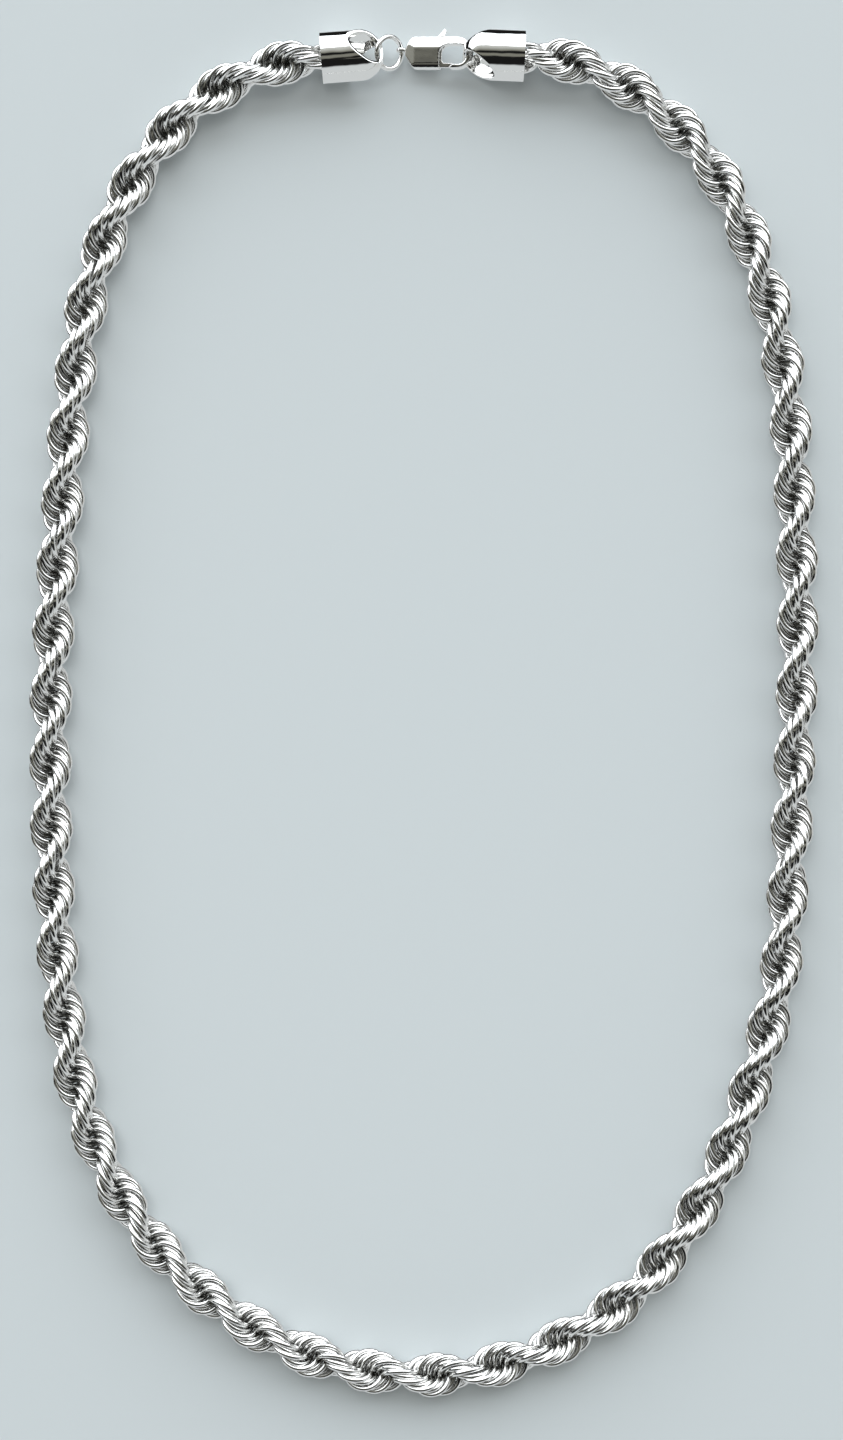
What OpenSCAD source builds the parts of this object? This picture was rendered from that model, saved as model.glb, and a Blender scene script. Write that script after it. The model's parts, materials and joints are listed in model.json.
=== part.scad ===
// A thick silver rope chain lying as a closed loop, with a domed end cap on each end,
// a jump ring and a lobster claw clasp that joins the two ends.
// The loop lies on the plane z = 0. The clasp is at the +Y end.

/* [Rope] */
// Width of the twisted rope across its two strands
rope_w = 8.3; // [7:0.1:9]
// Thickness of one strand of the rope
strand_d = 5.7; // [5:0.1:6.5]
// Length of rope in which the strands change sides once
half_turn = 12.37; // [10.5:0.01:14]
// Depth to which the rope's ends sit in their caps
rope_seat = 5; // [3:0.1:6]
// Gap between the two halves of the rope, and between the rope and a cap
rope_gap = 0.15; // [0.1:0.01:0.3]

/* [End caps] */
// Length of a cap from its rim to the end of its dome
cap_l = 11.7; // [10.5:0.1:13]
// Wall of a cap
cap_wall = 0.4; // [0.3:0.05:0.6]
// Radius of the dome's rounded shoulder
dome_r = 3.6; // [2.6:0.1:3.8]
// Width of the strap where it runs over the end of the dome
strap_w = 1.6; // [1.4:0.1:2]
// Distance from the rim to the first point of a window
window_start = 4.9; // [4.2:0.1:5.5]
// Direction in which the left cap points, from +X toward +Y
left_heading = 4.4; // [0:0.1:8]
// Turn of the left cap's windows about its axis, away from straight up
left_roll = -31; // [-45:1:-15]
// Direction in which the right cap points, from +X toward +Y
right_heading = 177.7; // [174:0.1:180]
// Turn of the right cap's windows about its axis, away from straight up
right_roll = -76; // [-90:1:-60]

/* [Jump ring] */
// Wire of the jump ring
ring_wire = 0.9; // [0.7:0.05:1]
// Inner diameter of the jump ring
ring_bore = 5; // [4.8:0.1:5.8]
// Gap of the jump ring's seam
ring_seam = 0.12; // [0.1:0.01:0.3]
// Sideways tilt of the jump ring
ring_tilt = 38; // [32:1:42]
// Lean of the jump ring toward -Y
ring_lean = 15.7; // [10:0.1:20]
// Place of the tail eye on the jump ring, from the ring's +X side toward +Y
eye_on_ring = 8; // [0:1:20]
// Slide of the jump ring along the left cap's strap
ring_slide = 0.6; // [0.3:0.05:0.9]

/* [Clasp] */
// Length of the claw from its tail eye to the end of its hook
claw_l = 13.8; // [13:0.1:15.5]
// Height of the claw across its spine and its lip
claw_h = 5.95; // [5.5:0.05:6.5]
// Thickness of the claw through its two flat faces
claw_t = 2.8; // [2.6:0.05:3.2]
// Thickness of the hook at its far end
hook_t = 2.2; // [1.8:0.05:2.6]
// Width of the hook's arm at its far end
hook_arm = 1.05; // [0.9:0.05:1.3]
// Hole of the tail eye, as a diameter
eye_bore = 1.4; // [1.3:0.05:1.6]
// Wall of the tail eye
eye_wall = 0.32; // [0.26:0.02:0.5]
// Thickness of the tail eye's plate
eye_t = 0.7; // [0.5:0.05:0.9]
// Rise of the claw from its tail to its hook
claw_rise = 11; // [8:0.5:14]
// Turn of the claw's hook toward -Y
claw_swing = 3; // [0:0.5:6]
// Roll of the claw's upper face toward -Y
claw_roll = 6; // [0:0.5:10]

/* [Lever] */
// Thickness of the lever that closes the hook
lever_t = 0.7; // [0.6:0.05:0.8]
// Gap between the lever and each cheek of its slot
lever_gap = 0.08; // [0.06:0.01:0.12]
// Diameter of the pin that the lever turns on
pin_d = 0.7; // [0.6:0.05:0.8]
// Radial clearance of the lever on its pin
pin_play = 0.04; // [0.02:0.01:0.08]
// Angle through which the lever opens
lever_open = 28; // [20:1:30]
// Open angle at which the lever is drawn, 0 when the hook is closed
lever_angle = 0; // [0:1:28]

/* [Hidden] */
eps = 0.01;
round_fn = 64;
silver = [0.86, 0.86, 0.85];
bright = [0.93, 0.93, 0.92];

// Route of the rope's axis on the ground, from the left cap round the neck to the right cap.
route = [[-41, 117], [-55.5, 100.5], [-63.5, 80], [-67, 58], [-69, 36], [-70.5, 14], [-71, -8.5],
         [-70.5, -30.5], [-69, -52.5], [-65, -74.5], [-56, -94.5], [-41, -111], [-22, -122],
         [0, -126], [21.5, -121.5], [40, -110], [53.5, -92], [62, -71.5], [67.5, -50],
         [69.5, -28], [70.5, -6], [71, 16.5], [70.5, 38.5], [69, 60.5], [64.5, 82.5],
         [55.5, 102.5], [40, 118]];
// Where the rim of the left cap stands on the ground plan.
left_rim = [-19.5, 124.1];
// Straight stretch of rope just outside a rim.
lead = 4;
// Length of rope over which it comes down from a cap's axis to the ground.
descent = 26;
// Lay of the rope: share of its length and the number of half turns counted there.
lay_marks = [[0.06, 0], [0.257, 10], [0.486, 22], [0.661, 31], [0.803, 38], [0.941, 45]];

cap_bore = rope_w / 2 + rope_gap;
cap_r = cap_bore + cap_wall;
cap_z = cap_r;
rope_z = rope_w / 2;
ring_r = (ring_bore + ring_wire) / 2;
eye_r = eye_bore / 2 + eye_wall;

// Vectors and turns.
function turn_x(p, a) = [p.x, p.y * cos(a) - p.z * sin(a), p.y * sin(a) + p.z * cos(a)];
function turn_y(p, a) = [p.x * cos(a) + p.z * sin(a), p.y, -p.x * sin(a) + p.z * cos(a)];
function turn_z(p, a) = [p.x * cos(a) - p.y * sin(a), p.x * sin(a) + p.y * cos(a), p.z];
function heading(a) = [cos(a), sin(a)];
function claw_turn(p) = turn_z(turn_y(turn_x(p, claw_roll), -claw_rise), -claw_swing);
function ring_turn(p) = turn_x(turn_y(p, ring_tilt), ring_lean);

// The parts hang in one another from the left cap to the right cap, each by a small play.
link_play = 0.2;
// Distance by which the right cap's axis passes below the middle line of the hook.
hook_drop = 0.3;
left_dome = [left_rim.x, left_rim.y, cap_z] + cap_l * [cos(left_heading), sin(left_heading), 0];
// The left strap's run, its width across the run, and the cap's axis.
strap_run = turn_z(turn_x([0, 1, 0], left_roll), left_heading);
strap_across = turn_z(turn_x([0, 0, 1], left_roll), left_heading);
left_axis = turn_z([1, 0, 0], left_heading);
// A length across the strap, carried along its run into the plane of the jump ring.
function on_ring(v) = let (n = ring_turn([0, 0, 1])) v - strap_run * (v * n) / (strap_run * n);
// Distance from the ring's centre at which the strap's inner corners clear the ring's bore.
strap_reach = sqrt(pow(ring_bore / 2 - link_play, 2)
                   - pow(strap_w / 2 * norm(on_ring(strap_across)), 2));
ring_centre = left_dome + ring_slide * strap_run - cap_wall * on_ring(left_axis)
              + strap_reach * ring_turn([1, 0, 0]);
eye_centre = ring_centre + ring_r * ring_turn([cos(eye_on_ring), sin(eye_on_ring), 0]);
// Place of the eye within the claw: its plate stands a little above the claw's middle line.
eye_v = 0.08 * claw_h;
hook_hole_u = claw_l - hook_arm;
hook_rest = eye_centre + claw_turn([hook_hole_u, -eye_v, 0]);
bow_play = link_play + sin(claw_rise) * hook_t / 2;
right_dome = [hook_rest.x - bow_play - cap_wall, hook_rest.y - hook_drop, cap_z];
right_rim = [right_dome.x - cap_l * cos(right_heading), right_dome.y - cap_l * sin(right_heading)];

// The rope's axis: a smooth curve through the route's points, straight into both caps.
way = concat([left_rim + lead * heading(left_heading), left_rim,
              left_rim - lead * heading(left_heading)],
             route,
             [right_rim - lead * heading(right_heading), right_rim,
              right_rim + lead * heading(right_heading)]);
way_gap = [for (i = [0:len(way) - 2]) norm(way[i + 1] - way[i])];
function slope(i) =
    let (a = way_gap[i - 1], b = way_gap[i])
    ((way[i] - way[i - 1]) * b / a + (way[i + 1] - way[i]) * a / b) / (a + b);
function bend(i, t) =
    let (d = way_gap[i])
    way[i] * (2 * t * t * t - 3 * t * t + 1) + way[i + 1] * (3 * t * t - 2 * t * t * t)
    + slope(i) * d * (t * t * t - 2 * t * t + t) + slope(i + 1) * d * (t * t * t - t * t);
bend_steps = 8;
axis_points = concat([left_rim + rope_seat * heading(left_heading)],
                     [for (i = [1:len(way) - 3]) for (k = [0:bend_steps - 1])
                      bend(i, k / bend_steps)],
                     [right_rim, right_rim + rope_seat * heading(right_heading)]);
axis_s = [for (i = 0, s = 0; i < len(axis_points);
               s = i + 1 < len(axis_points) ? s + norm(axis_points[i + 1] - axis_points[i]) : s,
               i = i + 1) s];
rope_l = axis_s[len(axis_s) - 1];
axis_x = [for (i = [0:len(axis_s) - 1]) [axis_s[i], axis_points[i].x]];
axis_y = [for (i = [0:len(axis_s) - 1]) [axis_s[i], axis_points[i].y]];
function ease(t) = let (c = min(1, max(0, t))) c * c * (3 - 2 * c);
function axis_z(s) =
    let (from_rim = min(s, rope_l - s) - rope_seat - lead)
    cap_z + (rope_z - cap_z) * ease(from_rim / descent);
function axis_at(s) = [lookup(s, axis_x), lookup(s, axis_y), axis_z(s)];

// Half turns that the rope has in all where its marks were counted.
counted_turns = 51.03;
// Half turns of the lay at a share of the rope's length; past the marks it runs on evenly.
lay_scale = rope_l / half_turn / counted_turns;
mark_first = lay_marks[0];
mark_last = lay_marks[len(lay_marks) - 1];
lay_rate = rope_l / half_turn;
function half_turns(share) =
    share < mark_first[0] ? (mark_first[1] * lay_scale - (mark_first[0] - share) * lay_rate)
    : share > mark_last[0] ? (mark_last[1] * lay_scale + (share - mark_last[0]) * lay_rate)
    : lookup(share, lay_marks) * lay_scale;

// Outline of the two strands side by side, as a radius for each direction round the axis.
lobe_r = strand_d / 2;
lobe_out = rope_w / 2 - lobe_r;
function rope_radius(a) = lobe_out * abs(cos(a)) + sqrt(lobe_r * lobe_r - pow(lobe_out * sin(a), 2));
section_n = 16;
function rope_section(s) =
    let (step = 0.5,
         ahead = axis_at(min(rope_l, s + step)), behind = axis_at(max(0, s - step)),
         t = (ahead - behind) / norm(ahead - behind),
         side = cross([0, 0, 1], t) / norm(cross([0, 0, 1], t)),
         up = cross(t, side), p = axis_at(s), lay = 180 * half_turns(s / rope_l))
    [for (k = [0:section_n - 1])
     let (a = 360 * k / section_n, r = rope_radius(a))
     p + r * (cos(a + lay) * side + sin(a + lay) * up)];

// One solid of rope between two places on its axis.
sections_per_half_turn = 6;
module rope_between(s0, s1) {
    n = ceil((s1 - s0) / half_turn * sections_per_half_turn);
    points = [for (i = [0:n]) each rope_section(s0 + (s1 - s0) * i / n)];
    m = section_n;
    skin = [for (i = [0:n - 1]) for (k = [0:m - 1])
            let (a = i * m + k, b = i * m + (k + 1) % m)
            each [[a, b + m, b], [a, a + m, b + m]]];
    ends = [[for (k = [0:m - 1]) k], [for (k = [m - 1:-1:0]) n * m + k]];
    polyhedron(points = points, faces = concat(skin, ends), convexity = 10);
}

module rope_chain_left() {
    color(silver) rope_between(0, (rope_l - rope_gap) / 2);
}

module rope_chain_right() {
    color(silver) rope_between((rope_l + rope_gap) / 2, rope_l);
}

// Half of a cap's outline, turned round its axis: a tube that ends in a rounded shoulder.
module dome_profile(r, l, shoulder) {
    square([r, l - shoulder]);
    square([r - shoulder, l]);
    intersection() {
        square([r, l]);
        translate([r - shoulder, l - shoulder]) circle(r = shoulder, $fn = round_fn);
    }
}

// Side view of what one window takes off a cap, as shares of the cap's length and radius.
module window_profile() {
    narrow = strap_w / 2;
    tip = cap_l * 0.94;
    middle = (window_start + tip) / 2;
    polygon([[cap_r + eps, window_start], [(cap_r + narrow) * 0.53, middle], [narrow, tip],
             [narrow, cap_l + 1], [cap_r + 1, cap_l + 1], [cap_r + 1, window_start]]);
}

// A cap along +Z: rim at 0, windows toward +X and -X, so that a strap is left over the dome.
module cap_solid() {
    difference() {
        rotate_extrude($fn = round_fn) dome_profile(cap_r, cap_l, dome_r);
        rotate_extrude($fn = round_fn) translate([0, -eps])
            dome_profile(cap_bore, cap_l - cap_wall + eps, dome_r - cap_wall);
        for (side = [0, 180])
            rotate([0, 0, side]) rotate([90, 0, 0])
                linear_extrude(height = 2 * (cap_r + eps), center = true) window_profile();
    }
}

module cap_at(rim, way_out, roll) {
    translate([rim.x, rim.y, cap_z]) rotate([0, 0, way_out]) rotate([roll, 0, 0])
        rotate([0, 90, 0]) rotate([0, 0, 180]) cap_solid();
}

module end_cap_left() {
    color(bright) cap_at(left_rim, left_heading, left_roll);
}

module end_cap_right() {
    color(bright) cap_at(right_rim, right_heading, right_roll);
}

// Open wire ring; its seam lies beside the left cap's strap.
seam_at = 215;
module jump_ring() {
    seam_angle = ring_seam / ring_r * 180 / PI;
    color(bright) translate(ring_centre) rotate([ring_lean, 0, 0]) rotate([0, ring_tilt, 0])
        rotate([0, 0, seam_at + seam_angle / 2])
            rotate_extrude(angle = 360 - seam_angle, $fn = round_fn)
                translate([ring_r, 0]) circle(d = ring_wire, $fn = round_fn);
}

module claw_place() {
    translate(eye_centre) rotate([0, 0, -claw_swing]) rotate([0, -claw_rise, 0])
        rotate([claw_roll, 0, 0]) translate([0, -eye_v, 0]) children();
}

// The claw lies along +X from its tail eye, spine toward +Y, flat faces toward +Z and -Z.
half_h = claw_h / 2;
pin_at = [0.49 * claw_l, -0.31 * claw_h];
hook_c = claw_l - half_h;
body_end = 0.55 * claw_l;
lip_u = 0.69 * claw_l;

// Ground plan of the claw without its hole: tail, two round shoulders, body and round hook.
module claw_outline() {
    spine_r = 0.22 * claw_h;
    belly_r = 0.15 * claw_h;
    top_u = 0.205 * claw_l;
    low_u = 0.215 * claw_l;
    polygon([[0.062 * claw_l, 0.1 * claw_h], [top_u - spine_r * 0.94, half_h - spine_r * 0.7],
             [top_u, half_h], [hook_c, half_h], [hook_c, -half_h], [low_u, -half_h],
             [low_u - belly_r * 0.8, -half_h + belly_r * 0.4], [0.062 * claw_l, -0.1 * claw_h]]);
    translate([top_u, half_h - spine_r]) circle(r = spine_r, $fn = round_fn);
    translate([low_u, belly_r - half_h]) circle(r = belly_r, $fn = round_fn);
    translate([hook_c, 0]) circle(r = half_h, $fn = round_fn);
}

// Hole of the hook: a large round beside the body and two at the far end.
hole_top = 0.24 * claw_h;
hole_low = -0.37 * claw_h;
near_r = 0.29 * claw_h;
top_r = 0.22 * claw_h;
low_r = 0.25 * claw_h;
near_at = [body_end + near_r, hole_top - near_r];
far_top = [hook_hole_u - top_r, hole_top - top_r];
far_low = [hook_hole_u - low_r, hole_low + low_r];
module hook_hole() {
    translate(near_at) circle(r = near_r, $fn = round_fn);
    translate(far_top) circle(r = top_r, $fn = round_fn);
    translate(far_low) circle(r = low_r, $fn = round_fn);
    polygon([near_at - [near_r, 0], near_at + [0, near_r], far_top + [0, top_r],
             far_top + [top_r, 0], far_low + [low_r, 0], far_low - [0, low_r],
             [body_end, hole_low]]);
}

// Mouth of the hook between the body and the pointed lip, which the lever closes.
lip_low_u = lip_u;
lip_high_u = lip_u + 0.052 * claw_l;
module hook_mouth() {
    polygon([[body_end, near_at.y], [lip_high_u, near_at.y], [lip_high_u, hole_low],
             [lip_low_u, -half_h], [lip_low_u, -half_h - 1], [body_end, -half_h - 1]]);
}

// Shape across the claw: flat faces, a long bevel to the spine and a short, shallow one to the lip.
module claw_section() {
    t = claw_t / 2;
    rotate([90, 0, 90]) linear_extrude(height = claw_l + 1)
        polygon([[half_h, 0.5 * t], [0.16 * claw_h, t], [-0.38 * claw_h, t], [-half_h, 0.84 * t],
                 [-half_h, -0.84 * t], [-0.38 * claw_h, -t], [0.16 * claw_h, -t],
                 [half_h, -0.5 * t]]);
}

// Shape along the claw: thin at the tail, full in the body, slimmer at the hook's end.
module claw_side() {
    t = claw_t / 2;
    rotate([90, 0, 0]) linear_extrude(height = claw_h + 1, center = true)
        polygon([[0.05 * claw_l, eye_r], [0.2 * claw_l, t], [0.7 * claw_l, t],
                 [claw_l + eps, hook_t / 2], [claw_l + eps, -hook_t / 2], [0.7 * claw_l, -t],
                 [0.2 * claw_l, -t], [0.05 * claw_l, -eye_r]]);
}

// Slot for the lever: from the hook's hole up through the spine, as wide as the lever swings.
slot_t = lever_t + 2 * lever_gap;
slot_margin = 0.2;
boss_r = 0.12 * claw_h;
gate_low = -0.46 * claw_h;
arm_foot = [0.49 * claw_l, 0.3 * claw_h];
arm_head = [0.515 * claw_l, half_h + 0.02 * claw_h];
tab_tip = [0.595 * claw_l, 0.77 * claw_h];
function swung(p, a) =
    let (d = p - pin_at) pin_at + [d.x * cos(a) - d.y * sin(a), d.x * sin(a) + d.y * cos(a)];
module lever_slot() {
    wide = [-slot_margin, 0];
    linear_extrude(height = slot_t, center = true) {
        translate(pin_at) circle(r = boss_r + slot_margin, $fn = round_fn);
        polygon([pin_at - [boss_r + slot_margin, 0], swung(arm_foot, lever_open) + wide,
                 swung(arm_head, lever_open) + wide, swung(tab_tip, lever_open) + wide,
                 [0.62 * claw_l, 0.77 * claw_h], [0.62 * claw_l, half_h], [0.6 * claw_l, hole_top],
                 near_at, [lip_low_u, hole_low], [lip_low_u, -half_h - 1],
                 [body_end - slot_margin, -half_h - 1], [body_end - slot_margin, gate_low],
                 [pin_at.x, pin_at.y - boss_r - slot_margin]]);
    }
}

module tail_eye() {
    translate([0, eye_v, 0]) rotate([90, 0, 0]) cylinder(r = eye_r, h = eye_t, center = true,
                                                         $fn = round_fn);
    translate([eye_bore / 2 + eye_wall / 2, eye_v - eye_t / 2, -eye_r * 0.62])
        cube([0.09 * claw_l - eye_bore / 2, eye_t, eye_r * 1.24]);
}

module clasp_body() {
    color(bright) claw_place() difference() {
        union() {
            intersection() {
                linear_extrude(height = claw_t + 1, center = true) difference() {
                    claw_outline();
                    hook_hole();
                    hook_mouth();
                }
                claw_section();
                claw_side();
            }
            tail_eye();
        }
        translate([0, eye_v, 0]) rotate([90, 0, 0])
            cylinder(d = eye_bore, h = eye_t + 1, center = true, $fn = round_fn);
        lever_slot();
        translate([pin_at.x, pin_at.y, 0])
            cylinder(d = pin_d, h = claw_t + 1, center = true, $fn = round_fn);
    }
}

module clasp_pin() {
    color(silver) claw_place() translate([pin_at.x, pin_at.y, 0])
        cylinder(r = pin_d / 2 - pin_play / 2, h = claw_t - 0.1, center = true, $fn = round_fn);
}

// The lever: a boss on the pin, a gate along the hook's mouth and an arm up to the thumb tab.
gate_top = hole_low + 0.05 * claw_h;
gate_play = 0.012 * claw_l;
module lever_plan() {
    translate(pin_at) circle(r = boss_r, $fn = round_fn);
    polygon([[pin_at.x - 0.6 * boss_r, pin_at.y - 0.6 * boss_r],
             [body_end, gate_low], [lip_low_u - gate_play, gate_low],
             [lip_high_u - gate_play, gate_top], [body_end + 0.055 * claw_l, gate_top],
             [body_end + 0.02 * claw_l, hole_low + 0.14 * claw_h], [body_end + 0.02 * claw_l, 0],
             [0.59 * claw_l, 0.3 * claw_h], [0.605 * claw_l, half_h], [0.625 * claw_l, 0.7 * claw_h],
             tab_tip, arm_head, arm_foot, [pin_at.x - 0.8 * boss_r, pin_at.y + 0.5 * boss_r]]);
}

// Shape across the lever: a flat plate, with its thumb tab ground to a wedge.
module lever_section() {
    t = lever_t / 2;
    rotate([90, 0, 90]) linear_extrude(height = claw_l)
        polygon([[-claw_h, -lever_t], [-claw_h, lever_t], [half_h + 0.03 * claw_h, lever_t],
                 [half_h + 0.03 * claw_h, t], [tab_tip.y + eps, -0.6 * t],
                 [tab_tip.y + eps, -lever_t]]);
}

module clasp_lever() {
    color(bright) claw_place() translate([pin_at.x, pin_at.y, 0]) rotate([0, 0, lever_angle])
        translate([-pin_at.x, -pin_at.y, 0]) difference() {
            intersection() {
                linear_extrude(height = lever_t, center = true) lever_plan();
                lever_section();
            }
            translate([pin_at.x, pin_at.y, 0])
                cylinder(r = pin_d / 2 + pin_play / 2, h = lever_t + 1, center = true,
                         $fn = round_fn);
        }
}

rope_chain_left();
rope_chain_right();
end_cap_left();
end_cap_right();
jump_ring();
clasp_body();
clasp_pin();
clasp_lever();
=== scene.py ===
# %% [markdown]
# # A heavy rope chain, laid down as a closed loop
# The necklace is made of some six hundred round wire links that hold one another in two twisted
# strands, with a domed cap on each end, a jump ring and a lobster claw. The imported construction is
# loaded first and stays fixed: every piece that is made below sits where it says.

# %% Load the fixed frame
import json
import math
import bpy
import bmesh
import numpy as np
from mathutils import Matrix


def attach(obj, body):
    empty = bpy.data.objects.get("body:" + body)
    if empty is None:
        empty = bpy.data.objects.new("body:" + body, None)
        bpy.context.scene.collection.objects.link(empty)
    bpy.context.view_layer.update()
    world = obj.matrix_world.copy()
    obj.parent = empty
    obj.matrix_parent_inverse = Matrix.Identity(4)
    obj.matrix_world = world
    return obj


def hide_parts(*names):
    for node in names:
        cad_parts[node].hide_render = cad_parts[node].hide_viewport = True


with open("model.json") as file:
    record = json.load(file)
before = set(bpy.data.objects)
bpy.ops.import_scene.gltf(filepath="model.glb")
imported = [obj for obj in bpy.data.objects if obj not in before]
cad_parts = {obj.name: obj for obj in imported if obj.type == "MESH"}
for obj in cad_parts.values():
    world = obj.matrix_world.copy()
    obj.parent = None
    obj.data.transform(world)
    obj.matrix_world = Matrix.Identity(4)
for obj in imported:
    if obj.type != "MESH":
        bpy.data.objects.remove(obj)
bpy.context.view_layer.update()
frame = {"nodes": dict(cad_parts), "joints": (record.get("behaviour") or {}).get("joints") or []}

# Blender counts in metres. A size that is given in millimetres is multiplied by this.
MM = 0.001
print("nodes in the frame:", sorted(frame["nodes"]))

# %% [markdown]
# The photograph looks straight down on the loop. A camera with little perspective does that, and
# one pixel of the picture then covers 0.19 mm at the height of the rope's middle. The camera comes
# first, so that each later step can be judged through it.

# %% Camera straight above the loop
PICTURE_H = 1440
PIXEL = 0.19 * MM
PICTURE_MIDDLE = (-0.5 * MM, -1.5 * MM)
CAMERA_UP = 450 * MM
CAMERA_AIM = 4.15 * MM
SENSOR = 36
camera_data = bpy.data.cameras.new("camera")
camera_data.sensor_fit = "VERTICAL"
camera_data.sensor_height = SENSOR
camera_data.lens = SENSOR * CAMERA_UP / (PICTURE_H * PIXEL)
camera = bpy.data.objects.new("camera", camera_data)
camera.location = (*PICTURE_MIDDLE, CAMERA_AIM + CAMERA_UP)
bpy.context.scene.collection.objects.link(camera)
bpy.context.scene.camera = camera
print("lens", round(camera_data.lens, 1), "mm")

# %% [markdown]
# Meshes of many faces are quickest from arrays. This helper takes points and faces, and shades
# the result smoothly, because drawn wire and spun sheet have no flat facets.

# %% Make an object from arrays
def new_piece(name, points, faces, smooth=True):
    mesh = bpy.data.meshes.new(name)
    mesh.from_pydata(np.asarray(points).tolist(), [], [list(f) for f in faces])
    mesh.polygons.foreach_set("use_smooth", [smooth] * len(mesh.polygons))
    mesh.update()
    piece = bpy.data.objects.new(name, mesh)
    bpy.context.scene.collection.objects.link(piece)
    return piece

# %% [markdown]
# The rope's middle line is the same smooth curve as in the construction: straight out of each
# cap, then through a few chosen points of the loop. A Blender curve could follow them too, but the
# links need the line's exact length, and that is simple to sum along a row of close points. All
# numbers of the rope are millimetres, and they turn to metres when its mesh is made.

# %% Points of the route
# Seen from above, from the left cap down the left side, and up the right side to the right cap.
ROUTE = [(-41, 117), (-55.5, 100.5), (-63.5, 80), (-67, 58), (-69, 36), (-70.5, 14), (-71, -8.5),
         (-70.5, -30.5), (-69, -52.5), (-65, -74.5), (-56, -94.5), (-41, -111), (-22, -122),
         (0, -126), (21.5, -121.5), (40, -110), (53.5, -92), (62, -71.5), (67.5, -50),
         (69.5, -28), (70.5, -6), (71, 16.5), (70.5, 38.5), (69, 60.5), (64.5, 82.5),
         (55.5, 102.5), (40, 118)]
LEFT_RIM = np.array([-19.5, 124.1])
RIGHT_RIM = np.array([19.033, 124.472])
LEFT_HEADING = math.radians(4.4)
RIGHT_HEADING = math.radians(177.7)
# How deep the rope sits in a cap, and how far it runs straight in front of it.
ROPE_SEAT = 5
LEAD = 4
print(len(ROUTE), "chosen points between the caps")

# %% Smooth line through the points
STEPS_BETWEEN = 8

def heading(angle):
    return np.array([math.cos(angle), math.sin(angle)])

def smooth_route():
    left, right = heading(LEFT_HEADING), heading(RIGHT_HEADING)
    way = [LEFT_RIM + LEAD * left, LEFT_RIM, LEFT_RIM - LEAD * left]
    way += [np.array(p, float) for p in ROUTE]
    way += [RIGHT_RIM - LEAD * right, RIGHT_RIM, RIGHT_RIM + LEAD * right]
    gap = [np.linalg.norm(b - a) for a, b in zip(way, way[1:])]

    def slope(i):
        a, b = gap[i - 1], gap[i]
        return ((way[i] - way[i - 1]) * b / a + (way[i + 1] - way[i]) * a / b) / (a + b)

    points = [LEFT_RIM + ROPE_SEAT * left]
    for i in range(1, len(way) - 2):
        for t in np.arange(STEPS_BETWEEN) / STEPS_BETWEEN:
            points.append(way[i] * (2 * t**3 - 3 * t**2 + 1) + way[i + 1] * (3 * t**2 - 2 * t**3)
                          + slope(i) * gap[i] * (t**3 - 2 * t**2 + t)
                          + slope(i + 1) * gap[i] * (t**3 - t**2))
    points += [RIGHT_RIM, RIGHT_RIM + ROPE_SEAT * right]
    return np.array(points)

line = smooth_route()
line_at = np.concatenate([[0], np.cumsum(np.linalg.norm(np.diff(line, axis=0), axis=1))])
ROPE_L = line_at[-1]
print("the rope's middle line is", round(ROPE_L, 1), "mm long")

# %% [markdown]
# The caps are a little thicker than the rope. So the line leaves a cap at the cap's own height,
# and comes down gently until the rope lies on the table.

# %% Middle line at any distance along the rope
CAP_Z = 4.7
ROPE_Z = 4.15
DESCENT = 26

def middle(at):
    from_lead = (np.minimum(at, ROPE_L - at) - ROPE_SEAT - LEAD) / DESCENT
    share = np.clip(from_lead, 0, 1)
    z = CAP_Z + (ROPE_Z - CAP_Z) * share * share * (3 - 2 * share)
    return np.stack([np.interp(at, line_at, line[:, 0]), np.interp(at, line_at, line[:, 1]), z], -1)

print("the line's middle point:", np.round(middle(ROPE_L / 2), 2))

# %% [markdown]
# The two strands twist round each other. Their lay is read off the photograph at a few places:
# a share of the rope's length, and how many half turns lie before it. Between two marks the twist
# is even. A half turn keeps its length, so a longer rope would hold more of them.

# %% Lay of the two strands
HALF_TURN = 12.37
COUNTED_TURNS = 51.03
LAY_MARKS = [(0.06, 0), (0.257, 10), (0.486, 22), (0.661, 31), (0.803, 38), (0.941, 45)]
lay_scale = ROPE_L / HALF_TURN / COUNTED_TURNS
mark_at = [ROPE_L * share for share, turns in LAY_MARKS]
mark_turns = [turns * lay_scale for share, turns in LAY_MARKS]
turns_at_start = mark_turns[0] - mark_at[0] / HALF_TURN
turns_at_end = mark_turns[-1] + (ROPE_L - mark_at[-1]) / HALF_TURN
mark_at = [0] + mark_at + [ROPE_L]
mark_turns = [turns_at_start] + mark_turns + [turns_at_end]
print("half turns along the rope:", round(turns_at_end - turns_at_start, 1))

# %% [markdown]
# Each link is a plain ring of round wire that stands upright in the rope: its plane holds the
# direction straight out from the middle line, and is turned a little against the lay. Links
# belong to the two strands in turn. A curve array could repeat one ring, but each ring also
# follows the twist, so the places are worked out one by one, and the rings joined in one mesh.

# %% Sizes of a link
# Wire measured outward in the ring's plane, and across that plane.
WIRE = 0.95
WIRE_BROAD = 1.0
# Outer width of a ring, and of the rope.
LINK_OUT = 7.8
ROPE_W = 8.3
LINKS_PER_HALF_TURN = 6.2
# Turn of a ring's plane against the lay, turn of all rings round the rope, and the play of each.
LINK_TILT = math.radians(-5)
LINK_PHASE = math.radians(-8)
LINK_LOOSE = 0.03
# Straight pieces round a ring, and sides of its wire.
RING_STEPS = 30
WIRE_STEPS = 10
ring_r = (LINK_OUT - WIRE) / 2
print("the wire's middle runs on a circle", round(2 * ring_r, 2), "mm across")

# %% Directions along the rope
EACH_WAY = 0.5

def unit(v):
    return v / np.linalg.norm(v, axis=-1, keepdims=True)

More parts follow.
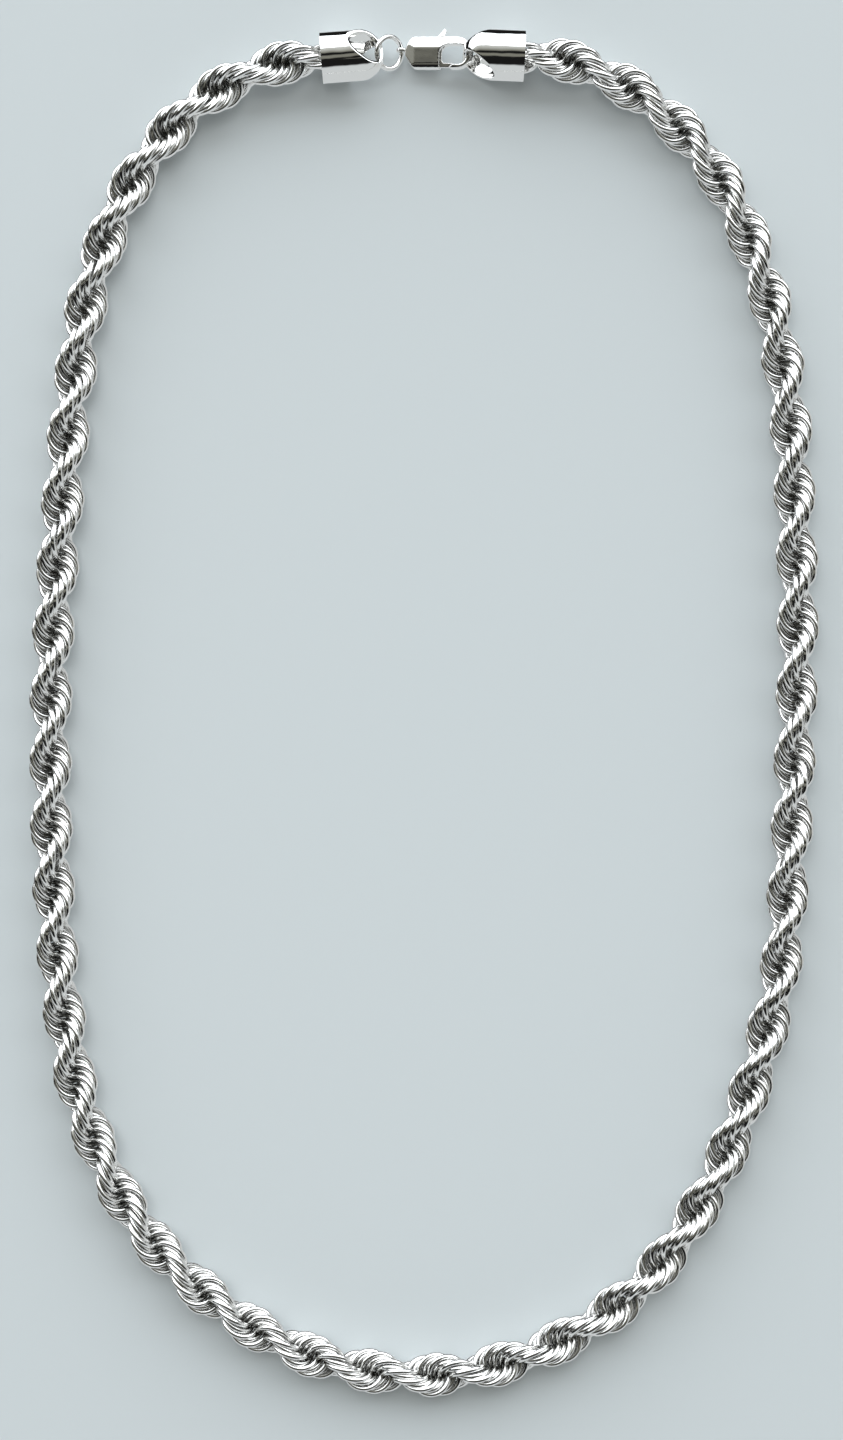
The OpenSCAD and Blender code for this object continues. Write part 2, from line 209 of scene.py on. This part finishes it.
def rope_directions(turns):
    at = np.interp(turns, mark_turns, mark_at)
    along = unit(middle(at + EACH_WAY) - middle(at - EACH_WAY))
    side = unit(np.cross([0, 0, 1], along))
    up = np.cross(along, side)
    return middle(at), along, side, up

# %% [markdown]
# No two links of a real chain stand quite alike. Each ring gets a little play in three ways: round
# the rope, against the lay, and sideways. The draws have a fixed seed, so every run gives the same
# rope.

# %% How each ring stands
def ring_stands(directions, turns, strand, rng):
    line_point, along, side, up = directions

    def play():
        return rng.normal(0, LINK_LOOSE, (len(turns), 1))

    angle = np.radians(180 * turns)[:, None] + LINK_PHASE + math.pi * strand[:, None] + play()
    out = np.cos(angle) * side + np.sin(angle) * up
    around = -np.sin(angle) * side + np.cos(angle) * up
    tilt = LINK_TILT + play()
    long_way = np.cos(tilt) * along + np.sin(tilt) * around
    lean = play()
    short_way = np.cos(lean) * out + np.sin(lean) * np.cross(out, long_way)
    centre = line_point + (ROPE_W / 2 - WIRE / 2 - ring_r) * out
    return centre, short_way, long_way, np.cross(short_way, long_way)

# %% [markdown]
# A ring of wire is a small circle carried round a large one. Adding six hundred of them with
# Blender's own torus would be slow, so the points of all rings come out of one formula.

# %% Wire round each ring
def ring_points(centre, short_way, long_way, face):
    t = np.linspace(0, 2 * math.pi, RING_STEPS, endpoint=False)[None, :, None]
    q = np.linspace(0, 2 * math.pi, WIRE_STEPS, endpoint=False)[None, None, :, None]
    outward = np.cos(t) * short_way[:, None] + np.sin(t) * long_way[:, None]
    return (centre[:, None, None] + (ring_r + WIRE / 2 * np.cos(q)) * outward[:, :, None]
            + WIRE_BROAD / 2 * np.sin(q) * face[:, None, None])

def ring_faces(count):
    i = np.arange(RING_STEPS)[:, None]
    j = np.arange(WIRE_STEPS)[None]
    next_i, next_j = (i + 1) % RING_STEPS, (j + 1) % WIRE_STEPS
    quads = np.stack([i * WIRE_STEPS + j, next_i * WIRE_STEPS + j,
                      next_i * WIRE_STEPS + next_j, i * WIRE_STEPS + next_j], -1).reshape(-1, 4)
    first = np.arange(count)[:, None, None] * RING_STEPS * WIRE_STEPS
    return (quads[None] + first).reshape(-1, 4)

# %% [markdown]
# The wire's colour is painted darker toward the depth of the rope, as painted shade between the
# wires. So each point keeps how far out it lies, as a share of the rope's radius, in a mesh
# attribute that the material can read.

# %% Rings joined in one mesh
def reach_out(points, line_point, along):
    across = points - line_point[:, None, None]
    across -= (across * along[:, None, None]).sum(-1, keepdims=True) * along[:, None, None]
    return np.linalg.norm(across, axis=-1) / (ROPE_W / 2)

def rope_links(name, turns, strand, rng):
    directions = rope_directions(turns)
    points = ring_points(*ring_stands(directions, turns, strand, rng))
    piece = new_piece(name, points.reshape(-1, 3) * MM, ring_faces(len(turns)))
    reach = piece.data.attributes.new("reach", "FLOAT", "POINT")
    reach.data.foreach_set("value", reach_out(points, *directions[:2]).ravel())
    return piece

# %% Both halves of the rope
rng = np.random.default_rng(7)
step = 1 / (2 * LINKS_PER_HALF_TURN)
link_reach = LINK_OUT / 2 / HALF_TURN
all_turns = np.arange(turns_at_start + link_reach, turns_at_end - link_reach, step)
all_strands = np.arange(len(all_turns)) % 2
in_left = all_turns <= np.interp(ROPE_L / 2, mark_at, mark_turns)
rope_left = rope_links("rope_links_left", all_turns[in_left], all_strands[in_left], rng)
rope_right = rope_links("rope_links_right", all_turns[~in_left], all_strands[~in_left], rng)
for piece, node in ((rope_left, "rope_chain_left"), (rope_right, "rope_chain_right")):
    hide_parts(node)
    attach(piece, "necklace")
    print(piece.name, len(piece.data.polygons), "faces")
print(len(all_turns), "links")

# %% [markdown]
# The claw is cast and then tumbled, so its edges are rounded and the lever's pin is polished flush.
# A bevel on each edge could do that, but the bevels would meet badly round the hook. Here the
# solid and its pin are fused into one skin of tiny cells, and some rounds of smoothing wear the
# edges down as tumbling does.

# %% Fuse solids into one worn skin
WELD = 0.0005 * MM

def solid_mesh(*names):
    joined = bmesh.new()
    for name in names:
        joined.from_mesh(frame["nodes"][name].data)
    bmesh.ops.remove_doubles(joined, verts=joined.verts, dist=WELD)
    return joined

def apply_modifiers(piece):
    seen = piece.evaluated_get(bpy.context.evaluated_depsgraph_get())
    worn = bpy.data.meshes.new_from_object(seen)
    piece.modifiers.clear()
    piece.data = worn

def worn_skin(name, joined, cell, rounds):
    piece = new_piece(name, [], [])
    joined.to_mesh(piece.data)
    joined.free()
    fuse = piece.modifiers.new("fuse", "REMESH")
    fuse.mode = "VOXEL"
    fuse.voxel_size = cell
    fuse.use_smooth_shade = True
    wear = piece.modifiers.new("wear", "SMOOTH")
    wear.factor = 0.5
    wear.iterations = rounds
    apply_modifiers(piece)
    print(name, len(piece.data.polygons), "faces")
    return piece

# %% [markdown]
# A pin is riveted by hammering its ends until they fill the holes. Each end gets a low disc, which
# is the pin itself made short and wide. It stands a little proud, and the wear takes it down.

# %% Rivet heads on the pin
HEAD_H = 0.4 * MM
HEAD_PROUD = 0.05 * MM
HEAD_WIDER = 1.3
hinge = frame["joints"][0]
pin_middle, pin_way = np.array(hinge["pos_m"]), np.array(hinge["axis"])

def rivet_head(side):
    head = solid_mesh("clasp_pin")
    along = np.array([(np.array(v.co) - pin_middle) @ pin_way for v in head.verts])
    pin_half = np.ptp(along) / 2
    for v, a in zip(head.verts, along):
        out = np.array(v.co) - pin_middle - a * pin_way
        a = side * (pin_half + HEAD_PROUD - HEAD_H / 2) + a / pin_half * HEAD_H / 2
        v.co = pin_middle + a * pin_way + HEAD_WIDER * out
    mesh = bpy.data.meshes.new("rivet_head")
    head.to_mesh(mesh)
    head.free()
    print("a rivet head", round((pin_half + HEAD_PROUD) / MM, 2), "mm from the claw's middle")
    return mesh

claw_metal = solid_mesh("clasp_body", "clasp_pin")
for side in (-1, 1):
    claw_metal.from_mesh(rivet_head(side))

# %% Claw and lever
CLAW_CELL = 0.08 * MM
CLAW_ROUNDS = 30
LEVER_CELL = 0.05 * MM
LEVER_ROUNDS = 16
claw = worn_skin("claw_skin", claw_metal, CLAW_CELL, CLAW_ROUNDS)
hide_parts("clasp_body", "clasp_pin")
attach(claw, "necklace")
lever = worn_skin("lever_skin", solid_mesh("clasp_lever"), LEVER_CELL, LEVER_ROUNDS)
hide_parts("clasp_lever")
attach(lever, "lever")

# %% [markdown]
# The caps are drawn sheet with two windows sawn out of the dome. Their cut edges are only broken
# with a file, so a narrow bevel suits them better than wear, and the long round faces stay as
# smooth as the lathe left them. Weighted normals keep the light even where a face meets its bevel.

# %% Caps with filed edges
FILED = 0.07 * MM
SHARP = math.radians(28)

def filed_cap(name, node):
    sheet = solid_mesh(node)
    sharp = [e for e in sheet.edges if e.is_manifold and e.calc_face_angle(0) > SHARP]
    bmesh.ops.bevel(sheet, geom=sharp, offset=FILED, segments=2, profile=0.5, affect="EDGES",
                    clamp_overlap=True)
    piece = new_piece(name, [], [])
    sheet.to_mesh(piece.data)
    sheet.free()
    piece.data.polygons.foreach_set("use_smooth", [True] * len(piece.data.polygons))
    even_light = piece.modifiers.new("even_light", "WEIGHTED_NORMAL")
    even_light.keep_sharp = True
    apply_modifiers(piece)
    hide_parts(node)
    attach(piece, "necklace")
    print(name, len(piece.data.polygons), "faces,", len(sharp), "edges filed")
    return piece

cap_left = filed_cap("cap_sheet_left", "end_cap_left")
cap_right = filed_cap("cap_sheet_right", "end_cap_right")

# %% [markdown]
# Polished silver is almost white and nearly a mirror. What tells it from chrome is the hand of the
# polisher: the surface swells and dips a little over a few millimetres, which bends the edges of
# the reflections, and rubbing leaves faint hairlines and spots that are a bit softer. Three noises
# do that: a broad one and a very fine one as bump, and one between them that moves the roughness.

# %% Silver
SILVER = (0.95, 0.945, 0.93, 1)
RUBBED_SPOT = 0.6 * MM
HAIRLINE_GAP = 0.15 * MM
# Where the noise counts as least and as most rubbed, and what that makes of the roughness.
NOISE_ENDS = (0.35, 0.65)
ROUGHNESS_ENDS = (0.6, 1.5)

def silver(name, roughness, swell, swell_size, hairline):
    material = bpy.data.materials.new(name)
    material.use_nodes = True
    nodes, links = material.node_tree.nodes, material.node_tree.links
    shader = nodes["Principled BSDF"]
    shader.inputs["Base Color"].default_value = SILVER
    shader.inputs["Metallic"].default_value = 1
    place = nodes.new("ShaderNodeTexCoord").outputs["Object"]

    def noise(size, detail):
        node = nodes.new("ShaderNodeTexNoise")
        node.inputs["Scale"].default_value = 1 / size
        node.inputs["Detail"].default_value = detail
        links.new(place, node.inputs["Vector"])
        return node.outputs["Fac"]

    rubbed = nodes.new("ShaderNodeMapRange")
    rubbed.inputs["From Min"].default_value = NOISE_ENDS[0]
    rubbed.inputs["From Max"].default_value = NOISE_ENDS[1]
    rubbed.inputs["To Min"].default_value = roughness * ROUGHNESS_ENDS[0]
    rubbed.inputs["To Max"].default_value = roughness * ROUGHNESS_ENDS[1]
    links.new(noise(RUBBED_SPOT, 6), rubbed.inputs["Value"])
    links.new(rubbed.outputs["Result"], shader.inputs["Roughness"])
    fine = nodes.new("ShaderNodeBump")
    fine.inputs["Distance"].default_value = hairline
    links.new(noise(HAIRLINE_GAP, 3), fine.inputs["Height"])
    broad = nodes.new("ShaderNodeBump")
    broad.inputs["Distance"].default_value = swell
    links.new(noise(swell_size, 1), broad.inputs["Height"])
    links.new(fine.outputs["Normal"], broad.inputs["Normal"])
    links.new(broad.outputs["Normal"], shader.inputs["Normal"])
    return material

# %% [markdown]
# Two places need one colour to pass softly into another: the painted shade in the depth of the rope,
# and the walls of the room. One helper does both. A Mix node has a set of sockets for each kind of
# value, so the colours are taken by number.

# %% Pass from one colour to another
COLOUR_A, COLOUR_B, COLOUR_OUT = 6, 7, 2

def colour_change(tree, value, start, end, first, second):
    share = tree.nodes.new("ShaderNodeMapRange")
    share.interpolation_type = "SMOOTHSTEP"
    share.inputs["From Min"].default_value = start
    share.inputs["From Max"].default_value = end
    tree.links.new(value, share.inputs["Value"])
    mix = tree.nodes.new("ShaderNodeMix")
    mix.data_type = "RGBA"
    tree.links.new(share.outputs["Result"], mix.inputs["Factor"])
    for socket, colour in ((mix.inputs[COLOUR_A], first), (mix.inputs[COLOUR_B], second)):
        if isinstance(colour, tuple):
            socket.default_value = colour
        else:
            tree.links.new(colour, socket)
    return mix.outputs[COLOUR_OUT]

# %% [markdown]
# Deeper in the rope, the wires are painted a darker grey as painted shade, which makes the gaps
# between them read dark. The reach that each point of the links carries picks the colour. Shadow
# alone wouldn't do it, because bright metal throws light into its own gaps.

# %% Painted shade in the depth of the rope
# Painted shade: the darker grey that the wires deep in the rope are painted, in place of shadow.
DEPTH_PAINTED_SHADE = (0.36, 0.36, 0.345, 1)
PAINTED_SHADE_UP_TO = 0.1
BRIGHT_FROM = 0.65

def painted_shade_in_depth(material):
    tree = material.node_tree
    reach = tree.nodes.new("ShaderNodeAttribute")
    reach.attribute_name = "reach"
    # The wires pass from painted shade in the depth to plain silver on the outside.
    colour = colour_change(tree, reach.outputs["Fac"], PAINTED_SHADE_UP_TO, BRIGHT_FROM, DEPTH_PAINTED_SHADE, SILVER)
    tree.links.new(colour, tree.nodes["Principled BSDF"].inputs["Base Color"])
    return material

# %% [markdown]
# All pieces are of one silver, and each was worked in its own way. The caps were spun and buffed,
# so they are the smoothest and swell the most. Drawn wire is nearly even. The cast claw shows the
# most hairlines.

# %% Finish of each piece
def finish_in(material, *pieces):
    for piece in pieces:
        piece.data.materials.clear()
        piece.data.materials.append(material)
        print(piece.name, "is finished in", material.name)

rope_silver = silver("rope_silver", roughness=0.10, swell=0.02 * MM, swell_size=2.0 * MM,
                     hairline=0.0004 * MM)
cap_silver = silver("cap_silver", roughness=0.06, swell=0.10 * MM, swell_size=3.5 * MM,
                    hairline=0.0006 * MM)
wire_silver = silver("wire_silver", roughness=0.08, swell=0.02 * MM, swell_size=2.0 * MM,
                     hairline=0.0004 * MM)
clasp_silver = silver("clasp_silver", roughness=0.09, swell=0.012 * MM, swell_size=2.5 * MM,
                      hairline=0.0012 * MM)
# The rope's silver carries painted shade in its depth.
finish_in(painted_shade_in_depth(rope_silver), rope_left, rope_right)
finish_in(cap_silver, cap_left, cap_right)
finish_in(wire_silver, frame["nodes"]["jump_ring"])
finish_in(clasp_silver, claw, lever)

# %% [markdown]
# The table is a plain pale sheet. The silver lies on it, but the reflections in the photograph
# come from the room alone, so the sheet doesn't show in glossy surfaces.

# %% Table
TABLE_REACH = 10
TABLE_GREY = (0.655, 0.705, 0.715, 1)
table = new_piece("table", [(-TABLE_REACH, -TABLE_REACH, 0), (TABLE_REACH, -TABLE_REACH, 0),
                            (TABLE_REACH, TABLE_REACH, 0), (-TABLE_REACH, TABLE_REACH, 0)],
                  [(0, 1, 2, 3)], smooth=False)
table_paint = bpy.data.materials.new("table_paint")
table_paint.use_nodes = True
table_shader = table_paint.node_tree.nodes["Principled BSDF"]
table_shader.inputs["Base Color"].default_value = TABLE_GREY
table_shader.inputs["Roughness"].default_value = 0.8
table_shader.inputs["Specular IOR Level"].default_value = 0.1
table.data.materials.append(table_paint)
table.visible_glossy = False
print("the table reaches", TABLE_REACH, "m each way")

# %% [markdown]
# Silver shows only what surrounds it, so the studio is what makes the picture. Read from the bands
# on the caps, the room has a wide white window toward +Y, a dark line under it, an olive ceiling
# overhead with dark gaps, and a pale screen toward -Y. Area lights could stand for these, but a
# sky that depends on the direction alone puts every band at its angle at once.

# %% Bands of the room
PALE = (0.60, 0.63, 0.64, 1)
DARK = (0.010, 0.010, 0.010, 1)
OLIVE = (0.20, 0.20, 0.17, 1)
HAZE = (0.54, 0.55, 0.52, 1)
WINDOW = (2.4, 2.5, 2.6, 1)
# Degrees from straight up, positive toward +Y, and the colour there. Between two rows it passes
# evenly from one colour to the next.
BANDS = [(-180, PALE), (-62, PALE), (-55, DARK), (-21, DARK), (-17, OLIVE), (-8, OLIVE),
         (-5, DARK), (3, DARK), (7, OLIVE), (22, HAZE), (27, HAZE), (31, WINDOW), (97, WINDOW),
         (101, DARK), (138, DARK), (144, PALE), (180, PALE)]

world = bpy.data.worlds.new("studio")
bpy.context.scene.world = world
world.use_nodes = True
room = world.node_tree
ramp = room.nodes.new("ShaderNodeValToRGB")
stops = ramp.color_ramp.elements
stops[0].color = BANDS[0][1]
stops[1].color = BANDS[-1][1]
for degrees, colour in BANDS[1:-1]:
    stops.new(degrees / 360 + 0.5).color = colour
print(len(stops), "stops in the bands of the room")

# %% Angle of a direction
def math_node(operation, *inputs):
    node = room.nodes.new("ShaderNodeMath")
    node.operation = operation
    for socket, value in zip(node.inputs, inputs):
        if isinstance(value, (int, float)):
            socket.default_value = value
        else:
            room.links.new(value, socket)
    return node.outputs["Value"]

split = room.nodes.new("ShaderNodeSeparateXYZ")
room.links.new(room.nodes.new("ShaderNodeTexCoord").outputs["Generated"], split.inputs["Vector"])
x, y, z = split.outputs
turn = math_node("DIVIDE", math_node("ARCTAN2", y, z), 2 * math.pi)
room.links.new(math_node("ADD", turn, 0.5), ramp.inputs["Fac"])

# %% [markdown]
# To the left of the object the room is dark, and to the right it is bright. A wall starts where a
# direction leans far enough along X, and is whole a little further. The plain Standard view then
# shows the light as it falls, with no film look over it.

# %% Walls to the left and right
BRIGHT_WALL = (0.56, 0.58, 0.58, 1)
RIGHT_WALL_EDGE = (0.75, 0.85)
LEFT_WALL_EDGE = (-0.88, -0.93)
sky = colour_change(room, x, *RIGHT_WALL_EDGE, ramp.outputs["Color"], BRIGHT_WALL)
sky = colour_change(room, x, *LEFT_WALL_EDGE, sky, DARK)
room.links.new(sky, room.nodes["Background"].inputs["Color"])
bpy.context.scene.view_settings.view_transform = "Standard"
print("the room has", len(room.nodes), "nodes")

# %% [markdown]
# A softbox above and behind the picture lights the table and draws the soft shadows under the
# rope. It stays out of the reflections, which the sky already gives.

# %% Softbox
SOFTBOX_SIZE = 0.5
SOFTBOX_PLACE = (-0.12, 0.20, 1.00)
SOFTBOX_POWER = 2.0
box_data = bpy.data.lights.new("softbox", "AREA")
box_data.size = SOFTBOX_SIZE
box_data.energy = SOFTBOX_POWER
softbox = bpy.data.objects.new("softbox", box_data)
softbox.location = SOFTBOX_PLACE
softbox.rotation_euler = (-softbox.location).to_track_quat("-Z", "Y").to_euler()
softbox.visible_glossy = False
bpy.context.scene.collection.objects.link(softbox)
print("the softbox hangs", round(softbox.location.length, 2), "m from the middle of the loop")
